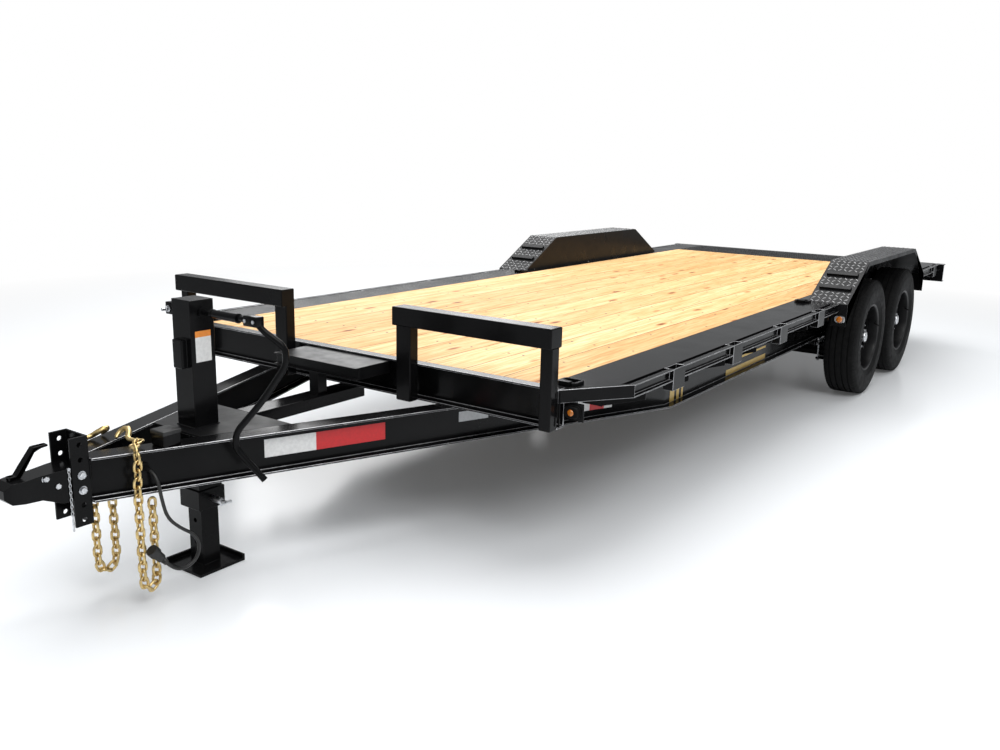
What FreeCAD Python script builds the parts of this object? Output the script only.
import FreeCAD, Part
import math
import os
import Sketcher

# Tandem-axle car hauler trailer with a drive-over deck.
# Millimetres. +Z is up, the tongue points to -Y, +X is the trailer's left side.
# The origin is on the ground, midway between coupler nose and tail.

Vector = FreeCAD.Vector
Placement = FreeCAD.Placement
Rotation = FreeCAD.Rotation

doc = FreeCAD.newDocument("Hauler")
sheet = doc.addObject("Spreadsheet::Sheet", "Dims")

# Driving dimensions: alias and value. Y values are measured back from the
# headboard, which is the front face of the front crossmember.
DIMS = {
    # overall
    "deck_height": 700.0,
    "deck_long": 6096.0,
    "nose_reach": 1500.0,
    # front and rear crossmembers
    "head_in": 180.0,
    "head_depth": 152.0,
    "head_flange": 50.0,
    "head_web": 6.0,
    "tail_over": 35.0,
    # tongue and main beams
    "beam_tall": 152.0,
    "beam_wide": 84.0,
    "beam_flange": 8.0,
    "beam_web": 6.0,
    "beam_in": 82.0,
    "nose_half": 29.0,
    "tongue_long": 1240.0,
    "kink_back": 1100.0,
    # deck
    "board_thick": 38.0,
    "board_gap": 1.0,
    "wood_width": 1970.0,
    "wood_end": 5486.0,
    "plate_width": 214.0,
    "plate_thick": 4.0,
    "cross_pitch": 406.0,
    "cross_flange": 41.0,
    "cross_web": 5.0,
    # rub rails and stake pockets
    "rail_gap": 21.0,
    "rail_tall": 51.0,
    "rail_deep": 25.0,
    "rail_thick": 5.0,
    "corner_long": 261.0,
    "pocket_first": 660.0,
    "pocket_pitch": 650.0,
    "pocket_long": 112.0,
    "pocket_tall": 92.0,
    "pocket_wall": 5.0,
    # fenders
    "fender_in": 145.0,
    "fender_over": 50.0,
    "fender_rise": 225.0,
    "fender_top": 1332.0,
    "fender_run": 422.0,
    "fender_back": 4040.0,
    "fender_skin": 3.0,
    "fender_lip": 25.0,
    "skirt_drop": 136.0,
    "skirt_thick": 5.0,
    "step_low": 0.30,
    "step_high": 0.62,
    "step_tall": 14.0,
    "step_wide": 30.0,
    "lamp_radius": 24.0,
    "lamp_deep": 22.0,
    # wheels
    "tyre_radius": 390.0,
    "tyre_width": 222.0,
    "rim_radius": 216.0,
    "rim_width": 190.0,
    "rim_lip": 10.0,
    "rim_wall": 9.0,
    "bead_slip": 0.5,
    "disc_thick": 8.0,
    "disc_out": 24.0,
    "window_out": 186.0,
    "window_in": 132.0,
    "wheel_in": 118.0,
    "axle_back": 4150.0,
    "axle_gap": 914.0,
    "hub_radius": 60.0,
    "hub_out": 74.0,
    "drum_radius": 150.0,
    "drum_deep": 72.0,
    "cap_thick": 6.0,
    "end_play": 2.0,
    "spindle_radius": 22.0,
    "run_gap": 0.3,
    # axles and springs
    "axle_radius": 38.0,
    "axle_drop": 128.0,
    "arm_gap": 20.0,
    "spring_wide": 44.0,
    "leaf_thick": 8.0,
    "spring_reach": 320.0,
    "spring_arch": 20.0,
    "seat_tall": 12.0,
    "eye_radius": 18.0,
    "hanger_thick": 6.0,
    "hanger_wide": 70.0,
    # bump rails
    "bump_long": 754.0,
    "bump_over": 10.0,
    "bump_rise": 237.0,
    "bump_tube": 76.0,
    "post_deep": 51.0,
    "tube_wall": 5.0,
    # shelf and centre beam
    "shelf_half": 241.0,
    "shelf_deep": 200.0,
    "shelf_tall": 51.0,
    "shelf_wall": 5.0,
    "centre_wide": 102.0,
    "centre_tall": 51.0,
    # jack
    "jack_back": 772.0,
    "jack_tube": 102.0,
    "jack_wall": 6.4,
    "jack_rise": 305.0,
    "jack_clear": 233.0,
    "leg_tube": 76.0,
    "leg_wall": 6.0,
    "leg_top": 600.0,
    "leg_slip": 0.3,
    "guide_tall": 60.0,
    "foot_size": 203.0,
    "foot_thick": 10.0,
    "foot_edge": 16.0,
    "leg_hole_first": 52.0,
    "leg_hole_pitch": 87.0,
    "spine_low": 67.0,
    "spine_tall": 104.0,
    "spine_wide": 50.0,
    "spine_deep": 24.0,
    "crank_drop": 38.0,
    "shaft_radius": 9.0,
    "shaft_long": 292.0,
    "sleeve_radius": 15.0,
    "handle_size": 18.0,
    "pin_radius": 8.0,
    "pin_long": 50.0,
    "box_back": 998.0,
    "box_wide": 72.0,
    "box_long": 70.0,
    "box_tall": 55.0,
    "plate_front": 870.0,
    "plate_back": 560.0,
    # hitch
    "hitch_wide": 122.0,
    "hitch_tall": 300.0,
    "hitch_deep": 62.0,
    "hitch_drop": 75.0,
    "hitch_thick": 8.0,
    "hole_pitch": 50.8,
    "hole_radius": 8.5,
    "hole_first": 26.0,
    "bolt_back": 22.0,
    "bolt_head": 12.0,
    "bolt_slip": 0.3,
    "coupler_over": 30.0,
    "coupler_under": 30.0,
    "coupler_slip": 0.3,
    "coupler_lip": 20.0,
    "socket_deep": 85.0,
    "ball_radius": 30.0,
    "latch_wide": 24.0,
    "bracket_front": 1180.0,
    "bracket_back": 1040.0,
    # safety chains
    "link_long": 50.0,
    "link_wide": 36.0,
    "link_wire": 10.0,
    "link_slip": 0.1,
    # tie-down rings
    "ring_in": 60.0,
    "ring_front": 120.0,
    "ring_back": 2880.0,
    "ring_long": 90.0,
    "ring_wide": 80.0,
    "ring_wire": 13.0,
    "ring_strap": 5.0,
    "ring_slip": 0.3,
    # ramps
    "ramp_near": 150.0,
    "ramp_wide": 400.0,
    "ramp_long": 1500.0,
    "ramp_tall": 74.0,
    "ramp_under": 8.0,
    "ramp_rail": 40.0,
    "ramp_slip": 3.0,
    "carrier_wide": 50.0,
    # lamps
    "corner_lamp_drop": 87.0,
    "skirt_lamp_drop": 92.0,
    "tail_lamp_in": 130.0,
    "tail_lamp_radius": 50.0,
}

BOARDS = 10


class Size:
    """A length with its value and the sheet formula that gives it."""

    def __init__(self, value, text):
        self.value = value
        self.text = text

    def __add__(self, other):
        other = size(other)
        return Size(self.value + other.value, "(%s + %s)" % (self.text, other.text))

    def __radd__(self, other):
        return size(other) + self

    def __sub__(self, other):
        other = size(other)
        return Size(self.value - other.value, "(%s - %s)" % (self.text, other.text))

    def __rsub__(self, other):
        return size(other) - self

    def __mul__(self, other):
        other = size(other)
        return Size(self.value * other.value, "(%s * %s)" % (self.text, other.text))

    def __rmul__(self, other):
        return size(other) * self

    def __truediv__(self, other):
        other = size(other)
        return Size(self.value / other.value, "(%s / %s)" % (self.text, other.text))

    def __rtruediv__(self, other):
        return size(other) / self

    def __neg__(self):
        return Size(-self.value, "(0 - %s)" % self.text)


def size(value):
    return value if isinstance(value, Size) else Size(float(value), repr(float(value)))


def hypot(a, b):
    a = size(a)
    b = size(b)
    return Size(math.hypot(a.value, b.value), "hypot(%s; %s)" % (a.text, b.text))


class Dimensions:
    """The sheet's cells, each reached by its alias."""

    def __init__(self, table):
        for row, (alias, value) in enumerate(table.items(), start=1):
            sheet.set("A%d" % row, alias)
            sheet.set("B%d" % row, str(value))
            sheet.setAlias("B%d" % row, alias)
        doc.recompute()
        for alias in table:
            setattr(self, alias, Size(sheet.get(alias), "Dims." + alias))


d = Dimensions(DIMS)


# Binding of sizes to the document's objects

def bind(obj, prop, value):
    value = size(value)
    obj.setExpression(prop, value.text)


def place(obj, x, y, z):
    x, y, z = size(x), size(y), size(z)
    obj.Placement.Base = Vector(x.value, y.value, z.value)
    bind(obj, "Placement.Base.x", x)
    bind(obj, "Placement.Base.y", y)
    bind(obj, "Placement.Base.z", z)
    return obj


def block(x, y, z):
    """A box between two values on each axis."""
    obj = doc.addObject("Part::Box", "Block")
    bind(obj, "Length", size(x[1]) - x[0])
    bind(obj, "Width", size(y[1]) - y[0])
    bind(obj, "Height", size(z[1]) - z[0])
    return place(obj, x[0], y[0], z[0])


TURN = {
    "x": Rotation(Vector(0, 1, 0), 90),
    "y": Rotation(Vector(1, 0, 0), -90),
    "z": Rotation(),
}


def rod(axis, radius, start, length):
    """A cylinder from a start point along +X, +Y or +Z."""
    obj = doc.addObject("Part::Cylinder", "Rod")
    bind(obj, "Radius", radius)
    bind(obj, "Height", length)
    obj.Placement.Rotation = TURN[axis]
    return place(obj, *start)


def bar(axis, radius, start, length):
    """A twelve-sided rod, where nothing turns on it."""
    obj = doc.addObject("Part::Prism", "Bar")
    obj.Polygon = 12
    bind(obj, "Circumradius", radius)
    bind(obj, "Height", length)
    obj.Placement.Rotation = TURN[axis]
    return place(obj, *start)


def outline(body, plane, points):
    """A closed sketch of straight lines with every corner bound to the sheet."""
    sketch = body.newObject("Sketcher::SketchObject", "Outline")
    role = plane + "_Plane"
    origin = [o for o in body.Origin.OriginFeatures if o.Role == role][0]
    sketch.AttachmentSupport = (origin, "")
    sketch.MapMode = "FlatFace"
    corners = [(size(a), size(b)) for a, b in points]
    count = len(corners)
    for i, (a, b) in enumerate(corners):
        c, e = corners[(i + 1) % count]
        line = Part.LineSegment(Vector(a.value, b.value, 0), Vector(c.value, e.value, 0))
        sketch.addGeometry(line, False)
    for i in range(count):
        sketch.addConstraint(Sketcher.Constraint("Coincident", i, 2, (i + 1) % count, 1))
    for i, corner in enumerate(corners):
        for kind, value in zip(("DistanceX", "DistanceY"), corner):
            index = sketch.addConstraint(Sketcher.Constraint(kind, -1, 1, i, 1, value.value))
            sketch.setExpression("Constraints[%d]" % index, value.text)
    return sketch


def prism(plane, points, span):
    """A straight-sided outline padded between two values on the third axis."""
    low, high = size(span[0]), size(span[1])
    body = doc.addObject("PartDesign::Body", "Prism")
    pad = body.newObject("PartDesign::Pad", "Pad")
    pad.Profile = outline(body, plane, points)
    bind(pad, "Length", high - low)
    zero = size(0)
    if plane == "XY":
        return place(body, zero, zero, low)
    if plane == "YZ":
        return place(body, low, zero, zero)
    return place(body, zero, high, zero)


def cut(base, *tools):
    obj = doc.addObject("Part::Cut", "Cut")
    obj.Base = base
    obj.Tool = tools[0] if len(tools) == 1 else fuse(*tools)
    return obj


def fuse(*parts):
    obj = doc.addObject("Part::MultiFuse", "Fuse")
    obj.Shapes = list(parts)
    return obj


def group(*parts):
    """Solids that don't touch, kept as one piece of the record."""
    obj = doc.addObject("Part::Compound", "Group")
    obj.Links = list(parts)
    return obj


def mirror(source):
    """The same piece on the trailer's other side."""
    obj = doc.addObject("Part::Mirroring", "Mirror")
    obj.Source = source
    obj.Normal = Vector(1, 0, 0)
    return obj


def feature(shape):
    obj = doc.addObject("Part::Feature", "Shape")
    obj.Shape = shape
    return obj


NODES = []


def node(name, obj):
    obj.Label = name
    NODES.append((name, obj))
    return obj


def both(name, obj):
    """The left piece and its mirror image as two nodes."""
    node(name + "_left", obj)
    node(name + "_right", mirror(obj))


# Half widths, from the boards outwards
wood_half = d.wood_width / 2
plate_outer = wood_half + d.plate_width
rail_half = plate_outer + d.rail_gap + d.rail_deep
head_half = rail_half - d.head_in
beam_half = head_half - d.beam_in
tail_half = rail_half + d.tail_over
fender_inner = plate_outer - d.fender_in
fender_outer = rail_half + d.fender_over
wheel_half = fender_outer - d.wheel_in

# Levels and planes that several pieces share
head = (d.nose_reach - d.deck_long) / 2
deck = d.deck_height
under_board = deck - d.board_thick
beam_top = deck - d.head_depth
beam_low = beam_top - d.beam_tall
tail = head + d.deck_long
nose = head - d.tongue_long
kink = head + d.kink_back
tail_front = tail - d.head_flange
corner_back = d.rail_deep * 1.8
wheel_open = (
    head + d.fender_back - d.fender_top / 2 - d.fender_run,
    head + d.fender_back + d.fender_top / 2 + d.fender_run,
)


# Main frame

def beam_strip(width, span):
    """One layer of a beam: a strip that follows the tongue, kinks and runs back."""
    half = width / 2
    across = beam_half - d.nose_half
    along = d.tongue_long + d.kink_back
    run = hypot(across, along)
    side = half * run / along
    mitre = half * (run - along) / across
    inner = d.nose_half - side
    front = [(d.nose_half + side, nose), (inner, nose)]
    if inner.value < 0:
        front = [(d.nose_half + side, nose), (size(0), nose), (size(0), nose - inner * along / across)]
    points = front + [
        (beam_half - half, kink + mitre),
        (beam_half - half, tail_front),
        (beam_half + half, tail_front),
        (beam_half + half, kink - mitre),
    ]
    return prism("XY", points, span)


def beam():
    return fuse(
        beam_strip(d.beam_wide, (beam_low, beam_low + d.beam_flange)),
        beam_strip(d.beam_web, (beam_low + d.beam_flange, beam_top - d.beam_flange)),
        beam_strip(d.beam_wide, (beam_top - d.beam_flange, beam_top)),
    )


def channel_points(open_y, back_y, low, high, web, flange):
    """Section of a channel in Y and Z with its web at back_y."""
    inner = back_y + web * (1 if open_y.value > back_y.value else -1)
    return [
        (open_y, low),
        (back_y, low),
        (back_y, high),
        (open_y, high),
        (open_y, high - flange),
        (inner, high - flange),
        (inner, low + flange),
        (open_y, low + flange),
    ]


both("main_beam", beam())

node("front_crossmember", prism(
    "YZ",
    channel_points(head, head + d.head_flange, beam_top, deck, d.head_web, d.beam_flange),
    (-head_half, head_half),
))


def rear_crossmember():
    points = channel_points(tail, tail_front, beam_top, deck, d.head_web, d.beam_flange)
    return prism("YZ", points, (-tail_half, tail_half))


node("rear_crossmember", rear_crossmember())


def crossmember_backs():
    """The web plane of each crossmember between headboard and tail."""
    backs = []
    back = head + d.cross_pitch
    while back.value < tail_front.value - d.cross_flange.value * 2:
        backs.append(back)
        back = back + d.cross_pitch
    return backs


def beside_wheels(y):
    return wheel_open[0].value - 60 < y.value < wheel_open[1].value + 60


def crossmember(back):
    points = channel_points(
        back + d.cross_flange, back, beam_top, under_board, d.cross_web, d.cross_web)
    half = beam_half + d.beam_wide / 2
    return prism("YZ", points, (-half, half))


node("crossmembers", group(*[crossmember(back) for back in crossmember_backs()]))


def outrigger(back, side):
    """A tapered plate from a crossmember's end to the rub rail."""
    start = beam_half + d.beam_wide / 2
    end = rail_half - d.rail_deep
    low = deck - d.pocket_tall
    points = [
        (start, beam_top),
        (start, under_board),
        (end, under_board),
        (end, low),
    ]
    if side < 0:
        points = [(-x, z) for x, z in points]
    return prism("XZ", points, (back, back + d.cross_web))


node("outriggers", group(*[
    outrigger(back, side)
    for back in crossmember_backs()
    if not beside_wheels(back)
    for side in (1, -1)
]))


# Deck

def board(index):
    width = d.wood_width / BOARDS
    low = -wood_half + width * index
    return block(
        (low + d.board_gap / 2, low + width - d.board_gap / 2),
        (head + d.head_flange, head + d.wood_end),
        (under_board, deck),
    )


node("deck_boards", group(*[board(i) for i in range(BOARDS)]))


def side_plate():
    """Steel side deck with down-turned lips, notched round the wheels."""
    front = head + d.head_flange
    slope = (d.corner_long - corner_back) / (rail_half - d.rail_deep - head_half)
    corner = head + corner_back + (plate_outer - head_half) * slope
    start = head_half + (d.head_flange - corner_back) / slope
    top = [
        (wood_half, front),
        (start, front),
        (plate_outer, corner),
        (plate_outer, wheel_open[0]),
        (fender_inner, wheel_open[0]),
        (fender_inner, wheel_open[1]),
        (plate_outer, wheel_open[1]),
        (plate_outer, tail_front),
        (wood_half, tail_front),
    ]
    skin = prism("XY", top, (deck - d.plate_thick, deck))
    inner = block(
        (wood_half, wood_half + d.plate_thick),
        (front, tail_front),
        (under_board, deck - d.plate_thick),
    )
    lips = [
        block(
            (plate_outer - d.plate_thick, plate_outer),
            span,
            (under_board, deck - d.plate_thick),
        )
        for span in ((corner, wheel_open[0]), (wheel_open[1], tail_front))
    ]
    return fuse(skin, inner, *lips)


both("side_plate", side_plate())


def tail_plate():
    skin = block(
        (-wood_half, wood_half),
        (head + d.wood_end, tail_front),
        (deck - d.plate_thick, deck),
    )
    lip = block(
        (-wood_half, wood_half),
        (head + d.wood_end, head + d.wood_end + d.plate_thick),
        (under_board, deck - d.plate_thick),
    )
    return fuse(skin, lip)


node("tail_plate", tail_plate())


def pocket_centres():
    """Stake pockets ahead of the wheels and behind them."""
    centres = []
    centre = head + d.pocket_first
    while centre.value < tail_front.value - d.pocket_long.value:
        clear = d.pocket_long.value
        if not wheel_open[0].value - clear < centre.value < wheel_open[1].value + clear:
            centres.append(centre)
        centre = centre + d.pocket_pitch
    return centres


def pocket(centre):
    outer = block(
        (plate_outer, rail_half),
        (centre - d.pocket_long / 2, centre + d.pocket_long / 2),
        (deck - d.pocket_tall, deck),
    )
    hole = block(
        (plate_outer + d.pocket_wall, rail_half - d.pocket_wall),
        (centre - d.pocket_long / 2 + d.pocket_wall, centre + d.pocket_long / 2 - d.pocket_wall),
        (deck - d.pocket_tall - 1, deck + 1),
    )
    return cut(outer, hole)


def rail(start, end):
    """A channel rub rail open to the outside."""
    back = rail_half - d.rail_deep
    low = deck - d.rail_tall
    points = [
        (back, low),
        (rail_half, low),
        (rail_half, low + d.rail_thick),
        (back + d.rail_thick, low + d.rail_thick),
        (back + d.rail_thick, deck - d.rail_thick),
        (rail_half, deck - d.rail_thick),
        (rail_half, deck),
        (back, deck),
    ]
    return prism("XZ", points, (start, end))


def corner_rail():
    """The angled flat that joins the headboard to the rub rail."""
    half = head_half
    corner = head + d.corner_long
    points = [
        (half, head),
        (rail_half, corner),
        (rail_half - d.rail_deep, corner),
        (half, head + corner_back),
    ]
    return prism("XY", points, (deck - d.rail_tall, deck))


def rub_rail():
    parts = [corner_rail()]
    start = head + d.corner_long
    passed_wheels = False
    for centre in pocket_centres():
        if centre.value > wheel_open[1].value and not passed_wheels:
            parts.append(rail(start, wheel_open[0]))
            start = wheel_open[1]
            passed_wheels = True
        parts.append(rail(start, centre - d.pocket_long / 2))
        parts.append(pocket(centre))
        start = centre + d.pocket_long / 2
    parts.append(rail(start, tail_front))
    return fuse(*parts)


both("rub_rail", rub_rail())


# Headboard, shelf and tongue pieces

def tube(axis, x, y, z, wall):
    """A rectangular tube that is open at both ends."""
    spans = {"x": x, "y": y, "z": z}
    inner = {}
    for name, (low, high) in spans.items():
        low, high = size(low), size(high)
        inner[name] = (low - 1, high + 1) if name == axis else (low + wall, high - wall)
    return cut(block(x, y, z), block(inner["x"], inner["y"], inner["z"]))


def bump_rail():
    """A square bar on two flat posts that stand on the headboard's face."""
    top = deck + d.bump_rise
    start = head_half + d.bump_over - d.bump_long
    bar = block((start, head_half + d.bump_over), (head - d.bump_tube, head), (top - d.bump_tube, top))
    posts = [
        block(x, (head - d.post_deep, head), (beam_top, top - d.bump_tube))
        for x in (
            (start, start + d.bump_tube),
            (head_half - d.post_deep, head_half),
        )
    ]
    return fuse(bar, *posts)


both("bump_rail", bump_rail())


def shelf():
    """Tray ahead of the headboard: top sheet, channel rim and a foot."""
    top = deck - d.shelf_wall * 2
    low = top - d.shelf_tall
    front = head - d.shelf_deep
    outer = block((-d.shelf_half, d.shelf_half), (front, head), (low, top))
    under = block(
        (-d.shelf_half + d.shelf_wall, d.shelf_half - d.shelf_wall),
        (front + d.head_flange / 2, head + 1),
        (low - 1, top - d.plate_thick),
    )
    mouth = block(
        (-d.shelf_half - 1, d.shelf_half + 1),
        (front - 1, front + d.head_flange / 2 - d.shelf_wall),
        (low + d.shelf_wall, top - d.shelf_wall),
    )
    post = block(
        (-d.centre_tall / 2, d.centre_tall / 2),
        (front, front + d.centre_tall),
        (beam_top, low),
    )
    return fuse(cut(outer, under, mouth), post)


node("front_shelf", shelf())

node("centre_beam", tube(
    "y",
    (-d.centre_wide / 2, d.centre_wide / 2),
    (head - d.plate_back, head + d.head_flange),
    (beam_top - d.centre_tall, beam_top),
    d.tube_wall,
))


def beam_line(y):
    """How far a tongue beam's web stands from the centreline at a given Y."""
    across = beam_half - d.nose_half
    along = d.tongue_long + d.kink_back
    return d.nose_half + (y - nose) * across / along


def flange_reach():
    """Half a flange's width, measured straight across the trailer."""
    across = beam_half - d.nose_half
    along = d.tongue_long + d.kink_back
    return d.beam_wide / 2 * hypot(across, along) / along


def inner_edge(y):
    return beam_line(y) - flange_reach()


def jack_plate():
    front = head - d.plate_front
    back = head - d.plate_back
    points = [
        (-inner_edge(front), front),
        (inner_edge(front), front),
        (inner_edge(back), back),
        (-inner_edge(back), back),
    ]
    plate = prism("XY", points, (beam_top - d.beam_flange, beam_top))
    half = d.jack_tube / 2
    centre = head - d.jack_back
    return cut(plate, block((-half, half), (centre - half, centre + half), (beam_low, deck)))


node("jack_plate", jack_plate())


def square_tube(half, y, z, wall):
    return tube("z", (-half, half), (y - half, y + half), z, wall)


# Jack

jack_y = head - d.jack_back
jack_top = deck + d.jack_rise
jack_half = d.jack_tube / 2
shaft_z = jack_top - d.crank_drop


def jack_post():
    """Fixed tube with a cap, a collar at its foot and a guide round the leg."""
    body = square_tube(jack_half, jack_y, (d.jack_clear, jack_top), d.jack_wall)
    cap = block(
        (-jack_half, jack_half),
        (jack_y - jack_half, jack_y + jack_half),
        (jack_top, jack_top + d.jack_wall),
    )
    collar = square_tube(
        jack_half + d.jack_wall, jack_y, (d.jack_clear, d.jack_clear + d.leg_tube), d.jack_wall)
    guide_wall = jack_half - d.jack_wall - d.leg_tube / 2 - d.leg_slip
    guide = square_tube(
        jack_half - d.jack_wall, jack_y, (d.jack_clear, d.jack_clear + d.guide_tall), guide_wall)
    spine = block(
        (-d.spine_wide / 2, d.spine_wide / 2),
        (jack_y - jack_half - d.spine_deep, jack_y - jack_half),
        (deck + d.spine_low, deck + d.spine_low + d.spine_tall),
    )
    return fuse(body, cap, collar, guide, spine)


node("jack_post", jack_post())


def jack_leg():
    """Square drop leg on a foot whose edges turn up."""
    half = d.leg_tube / 2
    foot = d.foot_size / 2
    tube_part = square_tube(half, jack_y, (d.foot_thick, d.leg_top), d.leg_wall)
    plate = block((-foot, foot), (jack_y - foot, jack_y + foot), (size(0), d.foot_thick))
    inset = foot - d.foot_thick
    top = d.foot_thick + d.foot_edge
    edges = [
        block((-foot, -inset), (jack_y - foot, jack_y + foot), (d.foot_thick, top)),
        block((-inset, foot), (jack_y + inset, jack_y + foot), (d.foot_thick, top)),
    ]
    holes = []
    for index in range(4):
        z = d.jack_clear - d.leg_hole_first - d.leg_hole_pitch * index
        if z.value > top.value + d.hole_radius.value:
            holes.append(bar("y", d.hole_radius, (size(0), jack_y - half - 1, z), d.leg_tube + 2))
    return cut(fuse(tube_part, plate, *edges), *holes)


node("jack_leg", jack_leg())


def ribbon(line):
    """Each corner of a bent bar's outline, with its way out from the line."""
    left = []
    right = []
    last = len(line) - 1
    for i, (a, b) in enumerate(line):
        before = line[max(i - 1, 0)]
        after = line[min(i + 1, last)]
        normals = []
        for (p, q), (r, s) in ((before, (a, b)), ((a, b), after)):
            run = math.hypot(r - p, s - q)
            if run:
                normals.append((-(s - q) / run, (r - p) / run))
        nx = sum(n[0] for n in normals)
        ny = sum(n[1] for n in normals)
        scale = 2 / (nx * nx + ny * ny) if len(normals) == 2 else 1
        left.append((nx * scale, ny * scale))
        right.append((-nx * scale, -ny * scale))
    return list(zip(line, left)) + list(zip(reversed(line), reversed(right)))


# Crank handle in an upright plane through the knuckle: out, and up
CRANK = (
    # out, up
    (0.0, -4.0),
    (18.0, -29.0),
    (92.0, -85.0),
    (95.0, -146.0),
    (9.0, -276.0),
    (-85.0, -388.0),
    (-92.0, -445.0),
    (7.0, -561.0),
)
CRANK_TURN = 35
knuckle_x = jack_half + d.shaft_long


def crank_bar():
    """The bent handle as one solid: a square bar that follows the table."""
    half = d.handle_size / 2
    points = []
    for (a, b), (na, nb) in ribbon(CRANK):
        points.append((a + half * na, b + half * nb))
    turned_bar = group(prism("XZ", points, (-half, half)))
    turned_bar.Placement.Rotation = Rotation(Vector(0, 0, 1), CRANK_TURN)
    return place(turned_bar, knuckle_x, jack_y, shaft_z)


def jack_crank():
    """Side shaft, sleeve, knuckle and bent handle, as one rigid piece."""
    shaft = bar("x", d.shaft_radius, (jack_half, jack_y, shaft_z), d.shaft_long)
    sleeve_start = jack_half + d.shaft_long * 0.22
    sleeve = bar("x", d.sleeve_radius, (sleeve_start, jack_y, shaft_z), d.shaft_long * 0.45)
    grip = d.handle_size * 0.9
    knuckle = block(
        (knuckle_x - grip * 3.4, knuckle_x + grip),
        (jack_y - grip, jack_y + grip),
        (shaft_z - grip, shaft_z + grip),
    )
    return fuse(shaft, sleeve, knuckle, crank_bar())


node("jack_crank", jack_crank())


def jack_pin():
    """Spring pin that locks the leg: barrel on the collar and a bent handle."""
    z = d.jack_clear + d.leg_tube / 2
    start = jack_half + d.jack_wall
    barrel = bar("x", d.pin_radius * 1.6, (start, jack_y, z), d.pin_long)
    stem = bar("x", d.pin_radius, (start + d.pin_long, jack_y, z), d.pin_long * 0.7)
    grip = bar("y", d.pin_radius, (
        start + d.pin_long * 1.7 - d.pin_radius, jack_y - d.pin_long / 2, z), d.pin_long)
    return fuse(barrel, stem, grip)


node("jack_pin", jack_pin())

node("breakaway_box", block(
    (beam_line(head - d.box_back) - d.box_wide / 2, beam_line(head - d.box_back) + d.box_wide / 2),
    (head - d.box_back - d.box_long / 2, head - d.box_back + d.box_long / 2),
    (beam_top, beam_top + d.box_tall),
))


# Hitch

hitch_top = deck - d.hitch_drop
bolt_ys = nose - d.hitch_thick - d.bolt_back


def hole_levels():
    """Heights of the adjusting holes down the channel's side plates."""
    levels = []
    z = hitch_top - d.hole_first
    while z.value > (hitch_top - d.hitch_tall).value + d.hole_radius.value * 2:
        levels.append(z)
        z = z - d.hole_pitch
    return levels


def hitch_channel():
    half = d.hitch_wide / 2
    low = hitch_top - d.hitch_tall
    web = block((-half, half), (nose - d.hitch_thick, nose), (low, hitch_top))
    flanges = [
        block(x, (nose - d.hitch_deep, nose - d.hitch_thick), (low, hitch_top))
        for x in ((-half, -half + d.hitch_thick), (half - d.hitch_thick, half))
    ]
    holes = [
        bar("x", d.hole_radius, (-half - 1, bolt_ys, z), d.hitch_wide + 2)
        for z in hole_levels()
    ]
    return cut(fuse(web, *flanges), *holes)


node("hitch_channel", hitch_channel())

bolt_levels = hole_levels()[2:4]
coupler_top = bolt_levels[0] + d.coupler_over
coupler_low = bolt_levels[1] - d.coupler_under
coupler_half = d.hitch_wide / 2 - d.hitch_thick - d.coupler_slip
tip = head - d.nose_reach
ball_y = tip + d.ball_radius + d.coupler_lip


def coupler():
    """Cast coupler: a shaped side view crossed with a shaped plan."""
    back = nose - d.hitch_thick - d.coupler_slip
    mid = nose - d.hitch_deep
    side = [
        (tip, coupler_top - 30),
        (tip + 20, coupler_top - 8),
        (mid, coupler_top),
        (back, coupler_top),
        (back, coupler_low),
        (mid - 30, coupler_low),
        (mid - 90, coupler_low + 26),
        (tip + 15, coupler_low + 36),
        (tip, coupler_low + 52),
    ]
    plan = [
        (-coupler_half, back),
        (coupler_half, back),
        (coupler_half, mid - 20),
        (coupler_half * 0.8, mid - 90),
        (coupler_half * 0.92, ball_y),
        (coupler_half * 0.75, tip + 14),
        (coupler_half * 0.4, tip),
        (-coupler_half * 0.4, tip),
        (-coupler_half * 0.75, tip + 14),
        (-coupler_half * 0.92, ball_y),
        (-coupler_half * 0.8, mid - 90),
        (-coupler_half, mid - 20),
    ]
    whole = doc.addObject("Part::MultiCommon", "Cast")
    whole.Shapes = [
        prism("YZ", side, (-coupler_half, coupler_half)),
        prism("XY", plan, (coupler_low, coupler_top)),
    ]
    socket = rod("z", d.ball_radius, (size(0), ball_y, coupler_low), d.socket_deep)
    holes = [
        bar("x", d.hole_radius, (-coupler_half - 1, bolt_ys, z), coupler_half * 2 + 2)
        for z in bolt_levels
    ]
    return cut(whole, socket, *holes)


node("coupler", coupler())


def hitch_bolt(z):
    """One coupler bolt with its head and nut against the side plates."""
    half = d.hitch_wide / 2
    cap = d.hole_radius * 1.7
    return fuse(
        bar("x", d.hole_radius - d.bolt_slip, (-half - d.bolt_head, bolt_ys, z),
            d.hitch_wide + d.bolt_head * 2),
        block((half, half + d.bolt_head), (bolt_ys - cap, bolt_ys + cap), (z - cap, z + cap)),
        block((-half - d.bolt_head, -half), (bolt_ys - cap, bolt_ys + cap), (z - cap, z + cap)),
    )


node("hitch_bolts", group(*[hitch_bolt(z) for z in bolt_levels]))

# Latch lever over the coupler: distance back from the coupler's tip, and
# height over the coupler's top
LATCH = (
    # back, up
    (26.0, -9.5),
    (62.0, -6.4),
    (84.0, 24.0),
    (112.0, 66.0),
    (134.0, 74.0),
    (156.0, 76.0),
    (156.0, 84.0),
    (108.0, 84.0),
    (66.0, 32.0),
    (46.0, 6.0),
    (26.0, 6.0),
)


def latch():
    half = d.latch_wide / 2
    lever = prism("YZ", [(tip + y, coupler_top + z) for y, z in LATCH], (-half, half))
    slope = prism("YZ", [
        (tip + 20, coupler_top - 8),
        (nose - d.hitch_deep, coupler_top),
        (nose - d.hitch_deep, coupler_top - 20),
        (tip + 20, coupler_top - 20),
    ], (-half - 1, half + 1))
    return cut(lever, slope)


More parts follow.
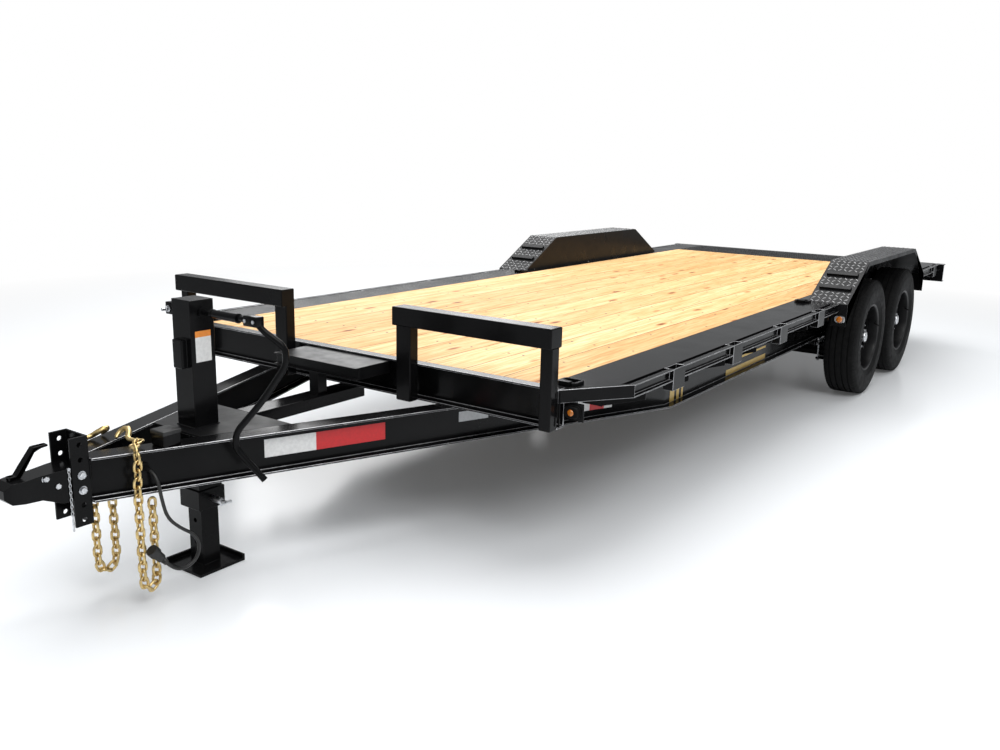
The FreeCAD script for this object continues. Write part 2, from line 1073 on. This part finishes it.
node("coupler_latch", latch())

node("chain_bracket", prism(
    "XY",
    [
        (-inner_edge(head - d.bracket_front), head - d.bracket_front),
        (inner_edge(head - d.bracket_front), head - d.bracket_front),
        (inner_edge(head - d.bracket_back), head - d.bracket_back),
        (-inner_edge(head - d.bracket_back), head - d.bracket_back),
    ],
    (beam_low, beam_low + d.beam_flange),
))


# Fenders

def fender_profile(grow):
    """Corners of the fender's hood in Y and Z, moved inward by grow."""
    centre = head + d.fender_back
    half = d.fender_top / 2
    return [
        (centre - half - d.fender_run + grow, deck),
        (centre - half + grow / 2, deck + d.fender_rise - grow),
        (centre + half - grow / 2, deck + d.fender_rise - grow),
        (centre + half + d.fender_run - grow, deck),
    ]


def slope_point(share, out):
    """A point on the front slope, as a share of its length, and off its face."""
    low, high = fender_profile(size(0))[:2]
    run = hypot(d.fender_run, d.fender_rise)
    return (
        low[0] + (high[0] - low[0]) * share - out * d.fender_rise / run,
        low[1] + (high[1] - low[1]) * share + out * d.fender_run / run,
    )


def step_bar(share, end):
    """A flat bar across a slope; end is -1 on the front and 1 on the rear."""
    wide = d.step_wide / hypot(d.fender_run, d.fender_rise)
    points = [
        slope_point(share, size(0)),
        slope_point(share, d.step_tall),
        slope_point(share + wide, d.step_tall),
        slope_point(share + wide, size(0)),
    ]
    if end > 0:
        centre = head + d.fender_back
        points = [(centre * 2 - y, z) for y, z in points]
    return prism("YZ", points, (fender_inner + d.fender_lip, fender_outer - d.fender_lip))


def skirt(end):
    """The plate that hangs from a fender's foot and carries the marker lamp."""
    foot = wheel_open[0 if end < 0 else 1]
    span = (foot, foot + d.skirt_thick) if end < 0 else (foot - d.skirt_thick, foot)
    return block(
        (plate_outer + d.pocket_wall, fender_outer),
        span,
        (deck - d.skirt_drop, deck),
    )


def fender():
    skin = d.fender_skin
    solid = prism("YZ", fender_profile(size(0)), (fender_inner, fender_outer))
    hollow = prism("YZ", [
        (y, z if index in (1, 2) else z - 1)
        for index, (y, z) in enumerate(fender_profile(skin * 2))
    ], (fender_inner + skin, fender_outer - skin))
    face = prism("YZ", [
        (y, z if index in (1, 2) else z - 1)
        for index, (y, z) in enumerate(fender_profile(d.fender_lip))
    ], (fender_outer - skin * 2, fender_outer + 1))
    bars = [step_bar(share, end) for share in (d.step_low, d.step_high) for end in (-1, 1)]
    return fuse(cut(solid, hollow, face), skirt(-1), skirt(1), *bars)


both("fender", fender())


# Lamps

def marker_lamp(x, y, z):
    """An oval marker facing forward, from its back face at y."""
    wide = d.lamp_radius * 1.4
    tall = d.lamp_radius
    points = [
        (x - wide * 0.8, z - tall),
        (x + wide * 0.8, z - tall),
        (x + wide, z - tall * 0.6),
        (x + wide, z + tall * 0.6),
        (x + wide * 0.8, z + tall),
        (x - wide * 0.8, z + tall),
        (x - wide, z + tall * 0.6),
        (x - wide, z - tall * 0.6),
    ]
    return prism("XZ", points, (y - d.lamp_deep, y))


def corner_lamp(side):
    """Marker lamp on its bracket, behind the corner flat."""
    x = (head_half + d.lamp_radius * 1.5) * side
    return marker_lamp(x, corner_lamp_y, deck - d.corner_lamp_drop)


corner_lamp_y = head + d.head_flange
skirt_lamp_x = fender_outer - d.lamp_radius * 1.5


def corner_bracket(side):
    """The plate behind a corner lamp, on the end of the front crossmember."""
    half = head_half
    x = (half, half + d.lamp_radius * 3.4)
    if side < 0:
        x = (-x[1], -x[0])
    y = (head + d.head_flange, head + d.head_flange + d.cross_web)
    return block(x, y, (deck - d.corner_lamp_drop - d.lamp_radius * 1.4, deck - d.rail_tall))


def skirt_lamp(side):
    return marker_lamp(skirt_lamp_x * side, wheel_open[0], deck - d.skirt_lamp_drop)


node("lamp_brackets", group(corner_bracket(1), corner_bracket(-1)))

node("lamps_amber", group(*[
    lamp(side)
    for lamp in (corner_lamp, skirt_lamp)
    for side in (1, -1)
]))


def tail_lamp(side):
    """Round lamp set in the rear crossmember's open face."""
    x = (tail_half - d.tail_lamp_in) * side
    z = deck - d.head_depth / 2
    start = tail_front + d.head_web
    return bar("y", d.tail_lamp_radius, (x, start, z), d.head_flange - d.head_web - 6)


node("lamps_red", group(tail_lamp(1), tail_lamp(-1)))


# Axles, springs and wheels

hub_z = d.tyre_radius
axle_ys = {
    "front": head + d.axle_back - d.axle_gap / 2,
    "rear": head + d.axle_back + d.axle_gap / 2,
}
axle_z = hub_z - d.axle_drop
spring_low = axle_z + d.axle_radius + d.seat_tall
arm_out = wheel_half - d.drum_deep - d.arm_gap


def axle(y):
    """Dropped tube, spring seats, upright arms and a spindle at each end."""
    reach = arm_out - 80
    tube_part = bar("x", d.axle_radius, (-reach, y, axle_z), reach * 2)
    pieces = [tube_part]
    seat = d.spring_wide / 2 + 8
    arm = [
        (reach - 5, axle_z - d.axle_radius * 0.8),
        (reach + 25, axle_z - d.axle_radius),
        (arm_out, hub_z - 25),
        (arm_out, hub_z + 25),
        (arm_out - 45, hub_z + 25),
        (reach + 2, axle_z + d.axle_radius * 0.8),
        (reach - 5, axle_z + d.axle_radius * 0.4),
    ]
    for side in (1, -1):
        points = [(x * side, z) for x, z in arm]
        pieces.append(prism("XZ", points, (y - 28, y + 28)))
        x = beam_half * side
        pieces.append(block((x - seat, x + seat), (y - 35, y + 35), (axle_z, spring_low)))
    long = wheel_half + d.hub_out - d.cap_thick - d.end_play - arm_out
    pieces.append(rod("x", d.spindle_radius, (arm_out, y, hub_z), long))
    pieces.append(rod("x", d.spindle_radius, (-arm_out - long, y, hub_z), long))
    return fuse(*pieces)


for end, y in axle_ys.items():
    node("axle_" + end, axle(y))

LEAVES = 4
spring_x = (beam_half - d.spring_wide / 2, beam_half + d.spring_wide / 2)
spring_top = spring_low + d.leaf_thick * LEAVES
eye_z = spring_top + d.spring_arch + d.leaf_thick / 2


def leaf(y, index):
    """One leaf below the main leaf; each reaches a quarter less than the last."""
    count = LEAVES - index
    top = spring_top - d.leaf_thick * index
    stations = [k for k in range(-count, count + 1)]
    rise = [d.spring_arch * (k * k / (LEAVES * LEAVES)) for k in stations]
    upper = [(y + d.spring_reach * k / LEAVES, top + r) for k, r in zip(stations, rise)]
    lower = [(a, b - d.leaf_thick) for a, b in reversed(upper)]
    return prism("YZ", upper + lower, spring_x)


def spring(y):
    eyes = [
        bar("x", d.eye_radius, (spring_x[0], y + d.spring_reach * side, eye_z), d.spring_wide)
        for side in (1, -1)
    ]
    return fuse(*[leaf(y, index) for index in range(LEAVES)], *eyes)


def pin_and_plates(y, inner, low):
    """A hanger: two plates from the beam's underside beside the spring."""
    plates = []
    for side in (1, -1):
        near = beam_half + inner * side
        far = beam_half + (inner + d.hanger_thick) * side
        x = (near, far) if side > 0 else (far, near)
        plates.append(block(x, (y - d.hanger_wide / 2, y + d.hanger_wide / 2), (low, beam_low)))
    return plates


middle = head + d.axle_back
front_eye = axle_ys["front"] + d.spring_reach
rear_eye = axle_ys["rear"] - d.spring_reach


def equaliser():
    """Rocker plates that join the two springs' inner eyes."""
    over = d.eye_radius + 4
    points = [
        (front_eye - over, eye_z - over * 0.6),
        (front_eye - over, eye_z + over * 0.4),
        (middle, beam_low - 4),
        (rear_eye + over, eye_z + over * 0.4),
        (rear_eye + over, eye_z - over * 0.6),
        (middle, eye_z - over),
    ]
    near = d.spring_wide / 2
    far = near + d.hanger_thick
    return [
        prism("YZ", points, (beam_half + near, beam_half + far)),
        prism("YZ", points, (beam_half - far, beam_half - near)),
    ]


both("springs", group(spring(axle_ys["front"]), spring(axle_ys["rear"]), *equaliser()))

hanger_low = eye_z - d.eye_radius * 1.4
both("spring_hangers", group(
    *pin_and_plates(axle_ys["front"] - d.spring_reach, d.spring_wide / 2, hanger_low),
    *pin_and_plates(middle, d.spring_wide / 2 + d.hanger_thick, hanger_low),
    *pin_and_plates(axle_ys["rear"] + d.spring_reach, d.spring_wide / 2, hanger_low),
))

WHEEL_SIDES = 32
HUB_SIDES = 20


def ring_points(radius, sides):
    """Corners of a polygon with a flat side down, in Y and Z."""
    points = []
    for k in range(sides):
        turn = math.radians(-90 + 180 / sides + 360 / sides * k)
        points.append((radius * math.cos(turn), radius * math.sin(turn)))
    return points


def facets(loop, sides):
    """A ring of flat faces: a closed loop of (along X, radius) corners turned
    in equal steps about a line along X. No sketch feature makes flat facets."""
    true = 1 / math.cos(math.pi / sides)
    rings = []
    for along, radius in loop:
        rings.append([Vector(along, y, z) for y, z in ring_points(radius * true, sides)])
    faces = []
    for i in range(len(rings)):
        a = rings[i]
        b = rings[(i + 1) % len(rings)]
        for k in range(sides):
            j = (k + 1) % sides
            faces.append(Part.Face(Part.makePolygon([a[k], a[j], b[j], b[k], a[k]])))
    solid = Part.Solid(Part.Shell(faces))
    if solid.Volume < 0:
        solid.reverse()
    return solid


def set_at(shape, x, y, z):
    obj = feature(shape)
    return place(obj, x, y, z)


# Tyre section: share of half the width, and share of the way from bead to tread
TYRE = (
    # across, out
    (-0.78, 0.00),
    (-0.82, 0.10),
    (-0.98, 0.34),
    (-1.00, 0.60),
    (-0.90, 0.88),
    (-0.74, 1.00),
    (0.74, 1.00),
    (0.90, 0.88),
    (1.00, 0.60),
    (0.98, 0.34),
    (0.82, 0.10),
    (0.78, 0.00),
)


def tyre_shape():
    half = d.tyre_width.value / 2
    bead = d.rim_radius.value
    tall = d.tyre_radius.value - bead
    loop = [(half * across, bead + tall * out) for across, out in TYRE]
    return facets(loop, WHEEL_SIDES)


TYRE_SEAT = 0.824


def rim_shape(side):
    """Barrel with a lip at each edge and a pressed disc with windows."""
    half = d.rim_width.value / 2
    bead = d.rim_radius.value
    wall = d.rim_wall.value
    lip = d.rim_lip.value
    seat = d.tyre_width.value / 2 * TYRE_SEAT + d.bead_slip.value
    loop = [
        (-half, bead + lip),
        (-seat, bead + lip),
        (-seat, bead),
        (seat, bead),
        (seat, bead + lip),
        (half, bead + lip),
        (half - lip * 1.5, bead - wall),
        (-half + lip * 1.5, bead - wall),
    ]
    barrel = facets(loop, WHEEL_SIDES)
    out = d.disc_out.value * side
    thick = d.disc_thick.value * side
    true = 1 / math.cos(math.pi / WHEEL_SIDES)
    outer = ring_points((bead - wall) * true, WHEEL_SIDES)
    rims = [[Vector(out, y, z) for y, z in outer]]
    true = 1 / math.cos(math.pi / HUB_SIDES)
    inner = ring_points(d.hub_radius.value * true, HUB_SIDES)
    rims.append([Vector(out, y, z) for y, z in inner])
    for k in range(8):
        turn = math.pi / 4 * k
        corners = []
        for radius, half_turn in (
            (d.window_in.value, -0.17),
            (d.window_out.value, -0.24),
            (d.window_out.value, 0.24),
            (d.window_in.value, 0.17),
        ):
            angle = turn + half_turn
            corners.append(Vector(out, radius * math.cos(angle), radius * math.sin(angle)))
        rims.append(corners)
    wires = [Part.makePolygon(points + [points[0]]) for points in rims]
    face = Part.Face(wires, "Part::FaceMakerBullseye")
    disc = face.extrude(Vector(-thick, 0, 0))
    return barrel.fuse(disc)


def hub_shape(side):
    """Drum, hub and cap round a plain bore that runs on the spindle."""
    drum = d.drum_radius.value
    hub = d.hub_radius.value
    run = d.spindle_radius.value + d.run_gap.value
    back = d.disc_out.value - d.disc_thick.value - d.bead_slip.value
    end = d.hub_out.value
    start = -d.drum_deep.value
    loop = [
        (start, run),
        (start, drum),
        (back, drum),
        (back, hub - d.bead_slip.value),
        (end * 0.62, hub * 0.9),
        (end * 0.92, hub * 0.72),
        (end, hub * 0.6),
        (end, run),
    ]
    loop = [(x * side, r) for x, r in loop]
    shell = facets(loop, HUB_SIDES)
    corners = [Vector(end * side, y, z) for y, z in ring_points(hub * 0.55, HUB_SIDES)]
    lid = Part.Face(Part.makePolygon(corners + [corners[0]]))
    return shell.fuse(lid.extrude(Vector(-d.cap_thick.value * side, 0, 0)))


tyre_solid = tyre_shape()
for end, y in axle_ys.items():
    for name, side in (("left", 1), ("right", -1)):
        x = wheel_half * side
        tag = "_%s_%s" % (end, name)
        node("tyre" + tag, set_at(tyre_solid, x, y, hub_z))
        node("rim" + tag, set_at(rim_shape(side), x, y, hub_z))
        node("hub" + tag, set_at(hub_shape(side), x, y, hub_z))


# Safety chains

def ring_shape(long, wide, wire):
    """A flat ring with cut outer corners lying in X and Y, long side along X."""
    a = long / 2
    b = wide / 2
    c = wide * 0.2
    outer = [
        (a, -b + c), (a, b - c), (a - c, b), (-a + c, b),
        (-a, b - c), (-a, -b + c), (-a + c, -b), (a - c, -b),
    ]
    a = a - wire
    b = b - wire
    inner = [(a, -b), (a, b), (-a, b), (-a, -b)]
    loops = []
    for points in (outer, inner):
        corners = [Vector(x, y, -wire / 2) for x, y in points]
        loops.append(Part.makePolygon(corners + [corners[0]]))
    face = Part.Face(loops, "Part::FaceMakerBullseye")
    return face.extrude(Vector(0, 0, wire))


def chain_points(line, pitch):
    """Evenly spaced points along a table of corners."""
    points = [Vector(*line[0])]
    target = pitch
    here = 0.0
    for a, b in zip(line, line[1:]):
        a = Vector(*a)
        b = Vector(*b)
        run = (b - a).Length
        while here + run >= target:
            points.append(a + (b - a) * ((target - here) / run))
            target += pitch
        here += run
    return points


def chain(line):
    """Links laid end to end along the line, each a quarter turn from the last."""
    base = ring_shape(d.link_long.value, d.link_wide.value, d.link_wire.value)
    pitch = (d.link_long - d.link_wire * 2 - d.link_slip).value
    points = chain_points(line, pitch)
    links = []
    for i in range(len(points) - 1):
        a = points[i]
        b = points[i + 1]
        along = (b - a).normalize()
        side = Vector(0, 0, 1).cross(along)
        if side.Length < 0.2:
            side = Vector(1, 0, 0)
        side.normalize()
        up = along.cross(side)
        if i % 2:
            side, up = up, -side
        middle_point = (a + b) * 0.5
        matrix = FreeCAD.Matrix(
            along.x, side.x, up.x, middle_point.x,
            along.y, side.y, up.y, middle_point.y,
            along.z, side.z, up.z, middle_point.z,
            0, 0, 0, 1)
        links.append(base.transformGeometry(matrix))
    return links


# Each chain's corners: X, Y behind the headboard, Z above the tongue's top
LEFT_CHAIN = (
    # x, back, up
    (72.0, -1062.0, 19.0),
    (100.0, -1100.0, 19.0),
    (140.0, -1128.0, 24.0),
    (156.0, -1131.0, 4.0),
    (158.0, -1131.0, -28.0),
    (146.0, -1130.0, -120.0),
    (143.0, -1130.0, -455.0),
    (142.0, -1122.0, -478.0),
    (140.0, -1101.0, -489.0),
    (138.0, -1080.0, -478.0),
    (134.0, -1072.0, -455.0),
    (124.0, -1066.0, -162.5),
)
RIGHT_CHAIN = (
    # x, back, up
    (-70.0, -1160.0, -162.4),
    (-70.0, -1162.0, -430.0),
    (-70.0, -1152.0, -458.0),
    (-70.0, -1127.0, -470.0),
    (-70.0, -1102.0, -458.0),
    (-70.0, -1092.0, -430.0),
    (-70.0, -1093.0, -162.4),
)
# Outline of a grab hook lying flat: across and along
HOOK = (
    # across, along
    (-10.0, 0.0),
    (10.0, 0.0),
    (14.0, 34.0),
    (40.0, 52.0),
    (50.0, 76.0),
    (38.0, 100.0),
    (12.0, 108.0),
    (-8.0, 96.0),
    (-8.0, 84.0),
    (12.0, 92.0),
    (28.0, 88.0),
    (34.0, 74.0),
    (26.0, 62.0),
    (2.0, 50.0),
)


def chain_line(table):
    return [
        (x, head.value + back, beam_top.value + up)
        for x, back, up in table
    ]


def hook(x, back, turn):
    """A hook that lies on the tongue's top."""
    wire = d.link_wire.value
    corners = [Vector(a, b, 0) for a, b in HOOK]
    face = Part.Face(Part.makePolygon(corners + [corners[0]]))
    solid = face.extrude(Vector(0, 0, wire * 1.3))
    solid.Placement = Placement(
        Vector(x, head.value + back, beam_top.value), Rotation(Vector(0, 0, 1), turn))
    return solid


# Two feature shapes: links follow a path, which no bound object can do
node("safety_chain_left", feature(Part.makeCompound(
    chain(chain_line(LEFT_CHAIN)) + [hook(44, -1058, 98)])))
node("safety_chain_right", feature(Part.makeCompound(
    chain(chain_line(RIGHT_CHAIN)) + [hook(-110, -1166, 12)])))


# Tie-down rings

def tie_down(x, y):
    """A ring lying on the deck under its strap."""
    ring = ring_shape(d.ring_long.value, d.ring_wide.value, d.ring_wire.value)
    ring.Placement = Placement(
        Vector(x.value, y.value, deck.value + d.ring_wire.value / 2), Rotation())
    over = d.ring_wire + d.ring_strap
    near = y - d.ring_long / 2 + d.ring_wire / 2
    strap = cut(
        block(
            (x - d.ring_wide * 0.3, x + d.ring_wide * 0.3),
            (near - d.ring_wire, near + d.ring_wire),
            (deck, deck + over),
        ),
        block(
            (x - d.ring_wide * 0.3 - 1, x + d.ring_wide * 0.3 + 1),
            (near - d.ring_wire * 0.6, near + d.ring_wire * 0.6),
            (deck - 1, deck + d.ring_wire + d.ring_slip),
        ),
    )
    return [feature(ring), strap]


ring_x = wood_half + d.ring_in
ring_pieces = []
for ring_y in (head + d.ring_front, head + d.ring_back):
    for side in (1, -1):
        ring_pieces.extend(tie_down(ring_x * side, ring_y))
node("tie_downs", group(*ring_pieces))


# Ramps on their carriers under the tail

def ramp(side):
    """Two rails and their rungs."""
    near = d.ramp_near
    far = d.ramp_near + d.ramp_wide
    start = tail - d.ramp_long
    low = beam_top - d.ramp_tall - d.ramp_under
    top = beam_top - d.ramp_under
    pieces = []
    for x in ((near, near + d.ramp_rail), (far - d.ramp_rail, far)):
        if side < 0:
            x = (-x[1], -x[0])
        pieces.append(block(x, (start, tail), (low, top)))
    inner = (near + d.ramp_rail, far - d.ramp_rail)
    if side < 0:
        inner = (-inner[1], -inner[0])
    for index in range(RUNGS):
        y = start + (d.ramp_long - d.ramp_rail) * index / (RUNGS - 1)
        pieces.append(block(inner, (y, y + d.ramp_rail), (top - d.ramp_rail, top)))
    return fuse(*pieces)


RUNGS = 6
node("ramps", group(ramp(1), ramp(-1)))


def carrier(side, y):
    """A U strap that holds one ramp up under the crossmembers."""
    near = d.ramp_near - d.ramp_slip
    far = d.ramp_near + d.ramp_wide + d.ramp_slip
    low = beam_top - d.ramp_tall - d.ramp_under
    wall = d.cross_web
    pieces = []
    for x, z in (
        ((near - wall, far + wall), (low - wall, low)),
        ((near - wall, near), (low, beam_top)),
        ((far, far + wall), (low, beam_top)),
    ):
        if side < 0:
            x = (-x[1], -x[0])
        pieces.append(block(x, (y, y + d.carrier_wide), z))
    return fuse(*pieces)


carrier_backs = (crossmember_backs()[-3], crossmember_backs()[-1])
node("ramp_carriers", group(*[
    carrier(side, y) for y in carrier_backs for side in (1, -1)
]))


# Light cord: its points stay as chosen. X, Y behind the headboard, Z from
# the deck's top
CORD = (
    # x, back, up
    (103.7, -1072.0, -218.0),
    (141.0, -1071.0, -224.0),
    (172.0, -1069.0, -256.0),
    (178.0, -1064.0, -322.0),
    (179.0, -1048.0, -390.0),
    (180.0, -1002.0, -440.0),
    (181.0, -950.0, -478.0),
    (182.0, -926.0, -528.0),
    (182.0, -944.0, -576.0),
    (181.0, -990.0, -594.0),
    (180.0, -1034.0, -582.0),
    (179.0, -1062.0, -548.0),
)
CORD_RADIUS = 6.0
PLUG_LONG = 84.0
PLUG_RADIUS = 21.0


def smooth_line(points):
    """Corners of straight runs joined by tangent arcs, and each arc's radius."""
    line = [points[0]]
    radii = []
    for before, here, after in zip(points, points[1:], points[2:]):
        a = (before - here)
        b = (after - here)
        short = min(a.Length, b.Length)
        a.normalize()
        b.normalize()
        turn = math.pi - a.getAngle(b)
        reach = 0.45 * short
        radius = reach / math.tan(turn / 2)
        radii.append(radius)
        toward = (a + b).normalize()
        centre = here + toward * (radius / math.cos(turn / 2))
        start = here + a * reach - centre
        finish = here + b * reach - centre
        steps = max(2, int(math.degrees(turn) / 12) + 1)
        for k in range(steps + 1):
            t = k / steps
            weight = math.sin(turn)
            spoke = start * (math.sin((1 - t) * turn) / weight)
            spoke += finish * (math.sin(t * turn) / weight)
            line.append(centre + spoke)
    line.append(points[-1])
    return line, radii


def tube_along(line, radius, sides):
    """A flat-sided tube that follows a line of points."""
    rings = []
    side = None
    for i, point in enumerate(line):
        ahead = line[min(i + 1, len(line) - 1)] - line[max(i - 1, 0)]
        ahead = Vector(ahead)
        ahead.normalize()
        if side is None:
            side = ahead.cross(Vector(0, 1, 0))
        side = side - ahead * side.dot(ahead)
        side.normalize()
        up = ahead.cross(side)
        rings.append([
            point + side * (radius * math.cos(2 * math.pi * k / sides))
            + up * (radius * math.sin(2 * math.pi * k / sides))
            for k in range(sides)
        ])
    faces = []
    for a, b in zip(rings, rings[1:]):
        for k in range(sides):
            j = (k + 1) % sides
            faces.append(Part.Face(Part.makePolygon([a[k], a[j], b[j], a[k]])))
            faces.append(Part.Face(Part.makePolygon([a[k], b[j], b[k], a[k]])))
    for ring in (rings[0], rings[-1]):
        faces.append(Part.Face(Part.makePolygon(ring + [ring[0]])))
    shell = Part.Shell(faces)
    solid = Part.Solid(shell)
    if solid.Volume < 0:
        solid.reverse()
    return solid


cord_points = [Vector(x, head.value + back, deck.value + up) for x, back, up in CORD]
cord_line, cord_radii = smooth_line(cord_points)
print("cord bend radii", " ".join("%.0f" % r for r in cord_radii))
node("light_cord", feature(tube_along(cord_line, CORD_RADIUS, 8)))


def plug_shape():
    """Round plug on the cord's end, with a wider collar at its mouth."""
    end = cord_points[-1]
    along = Vector(end - cord_points[-2])
    along.normalize()
    line = [end + along * 0.3, end + along * PLUG_LONG * 0.7]
    body = tube_along(line, PLUG_RADIUS * 0.8, 16)
    line = [end + along * PLUG_LONG * 0.7, end + along * PLUG_LONG]
    return body.fuse(tube_along(line, PLUG_RADIUS, 16))


node("light_plug", feature(plug_shape()))


def export():
    """Recompute, check every object and write one STEP file for each node."""
    doc.recompute()
    for obj in doc.Objects:
        if "Invalid" in obj.State or "Error" in obj.State:
            raise RuntimeError("object failed: " + obj.Label)
    for name, obj in NODES:
        if obj.Shape.isNull() or not obj.Shape.isValid():
            raise RuntimeError("bad shape: " + name)
    os.makedirs("parts", exist_ok=True)
    for name, obj in NODES:
        obj.Shape.exportStep("parts/" + name + ".step")
    print(len(NODES), "nodes")


export()
